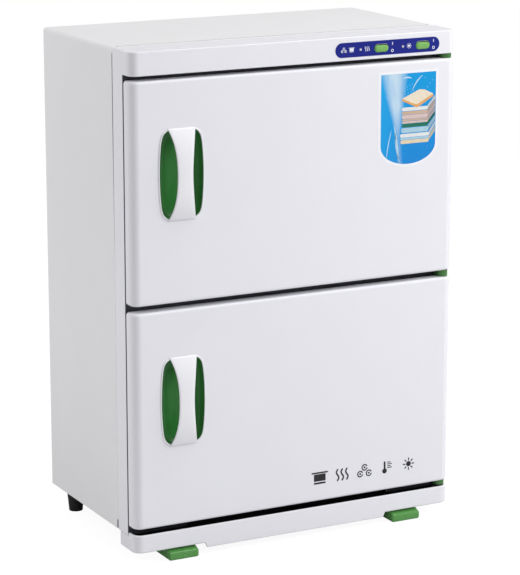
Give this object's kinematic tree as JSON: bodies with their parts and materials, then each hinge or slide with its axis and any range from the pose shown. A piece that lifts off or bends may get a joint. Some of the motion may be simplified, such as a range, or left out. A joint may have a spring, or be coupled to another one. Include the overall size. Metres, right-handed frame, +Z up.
{
  "type": "hot towel cabinet",
  "caption": "Upright hot towel warming cabinet with stacked hinged doors, strap handles, heated chambers, a germicidal lamp, rocker switches and a pull-out drip tray.",
  "frame": {"origin": "centre of the bounding box at floor level, under the middle of the cabinet", "axes": "+Z up, front doors towards -Y, +X to the right when facing the doors; hinges on the +X side"},
  "size_m": [0.454, 0.29, 0.64],
  "materials": {
    "casing_steel": "semi-gloss powder coat, white",
    "white_plastic": "glossy moulded ABS, cool white",
    "dark_plate": "matt dark grey moulding",
    "zinc_steel": "zinc-plated sheet",
    "rear_steel": "galvanised rear sheet, light grey",
    "chamber_aluminium": "satin aluminium",
    "insulation_wool": "glass-wool board",
    "shelf_wire": "chromed wire",
    "rail_steel": "stainless strip",
    "heater_mat": "orange-red silicone",
    "black_plastic": "black phenolic",
    "ceramic": "off-white ceramic",
    "lamp_glass": "ultraviolet tube glass",
    "socket_plastic": "white lampholder",
    "terminal_plastic": "white terminal strip",
    "cable_black": "black cable sheath",
    "label_blue": "glossy blue overlay",
    "lamp_lens": "clear white lens",
    "rocker_green": "glossy light green",
    "hinge_green": "green moulded plastic",
    "pin_steel": "steel pin",
    "screw_steel": "zinc-plated screw",
    "foot_green": "green moulded plastic",
    "mat_rubber": "black ribbed rubber mat",
    "foot_rubber": "black rubber",
    "foam": "rigid foam core",
    "liner_plastic": "white vacuum-formed liner",
    "gasket_rubber": "black sealing strip",
    "bush_nylon": "natural nylon",
    "magnet_dark": "ferrite magnet",
    "cup_green": "green moulded cup",
    "picture_label": "printed blue picture label",
    "print_black": "screen-printed black"
  },
  "bodies": {
    "cabinet": {"outer_casing": "casing_steel", "front_frame": "white_plastic", "seal_plate": "dark_plate", "base_plate": "zinc_steel", "back_panel": "rear_steel", "upper_chamber": "chamber_aluminium", "lower_chamber": "chamber_aluminium", "insulation": "insulation_wool", "upper_shelf": "shelf_wire", "lower_shelf": "shelf_wire", "upper_shelf_rails": "rail_steel", "lower_shelf_rails": "rail_steel", "upper_drip_pan": "chamber_aluminium", "lower_drip_pan": "chamber_aluminium", "upper_heating_mat": "heater_mat", "lower_heating_mat": "heater_mat", "thermostats": "black_plastic", "thermal_fuses": "ceramic", "uv_lamp": "lamp_glass", "uv_lamp_sockets": "socket_plastic", "uv_ballast": "zinc_steel", "terminal_block": "terminal_plastic", "wiring_loom": "cable_black", "cord_gland": "black_plastic", "control_label": "label_blue", "indicator_lamps": "lamp_lens", "switch_housings": "black_plastic", "hinge_brackets": "hinge_green", "hinge_pins": "pin_steel", "hinge_screws": "screw_steel", "catch_plates": "zinc_steel", "tray_guides": "dark_plate", "front_feet": "foot_green", "rear_feet": "foot_rubber", "foot_screws": "screw_steel", "casing_screws": "screw_steel", "back_panel_screws": "screw_steel", "seam_strips": "gasket_rubber"},
    "upper_door": {"upper_door_shell": "white_plastic", "upper_door_liner": "liner_plastic", "upper_door_foam": "foam", "upper_door_gasket": "gasket_rubber", "upper_door_bushes": "bush_nylon", "upper_door_magnets": "magnet_dark", "upper_handle": "white_plastic", "upper_handle_cup": "cup_green", "door_sticker": "picture_label"},
    "lower_door": {"lower_door_shell": "white_plastic", "lower_door_liner": "liner_plastic", "lower_door_foam": "foam", "lower_door_gasket": "gasket_rubber", "lower_door_bushes": "bush_nylon", "lower_door_magnets": "magnet_dark", "lower_handle": "white_plastic", "lower_handle_cup": "cup_green", "door_marking": "print_black"},
    "drip_tray": {"drip_tray": "white_plastic", "tray_mat": "mat_rubber"},
    "heat_rocker": {"heat_rocker": "rocker_green"},
    "uv_rocker": {"uv_rocker": "rocker_green"}
  },
  "joints": [
    {"name": "upper_door_hinge", "type": "hinge", "parent": "cabinet", "child": "upper_door", "pos_m": [0.217, -0.1235, 0.46675], "axis": [0, 0, 1], "range_deg": [0, 110]},
    {"name": "lower_door_hinge", "type": "hinge", "parent": "cabinet", "child": "lower_door", "pos_m": [0.217, -0.1235, 0.18305], "axis": [0, 0, 1], "range_deg": [0, 110]},
    {"name": "drip_tray_slide", "type": "slide", "parent": "cabinet", "child": "drip_tray", "axis": [0, -1, 0], "range_m": [0, 0.04]},
    {"name": "heat_rocker_pivot", "type": "hinge", "parent": "cabinet", "child": "heat_rocker", "pos_m": [0.1172, -0.1275, 0.6236], "axis": [-1, 0, 0], "range_deg": [0, 12]},
    {"name": "uv_rocker_pivot", "type": "hinge", "parent": "cabinet", "child": "uv_rocker", "pos_m": [0.177, -0.1275, 0.6236], "axis": [-1, 0, 0], "range_deg": [0, 12]}
  ]
}
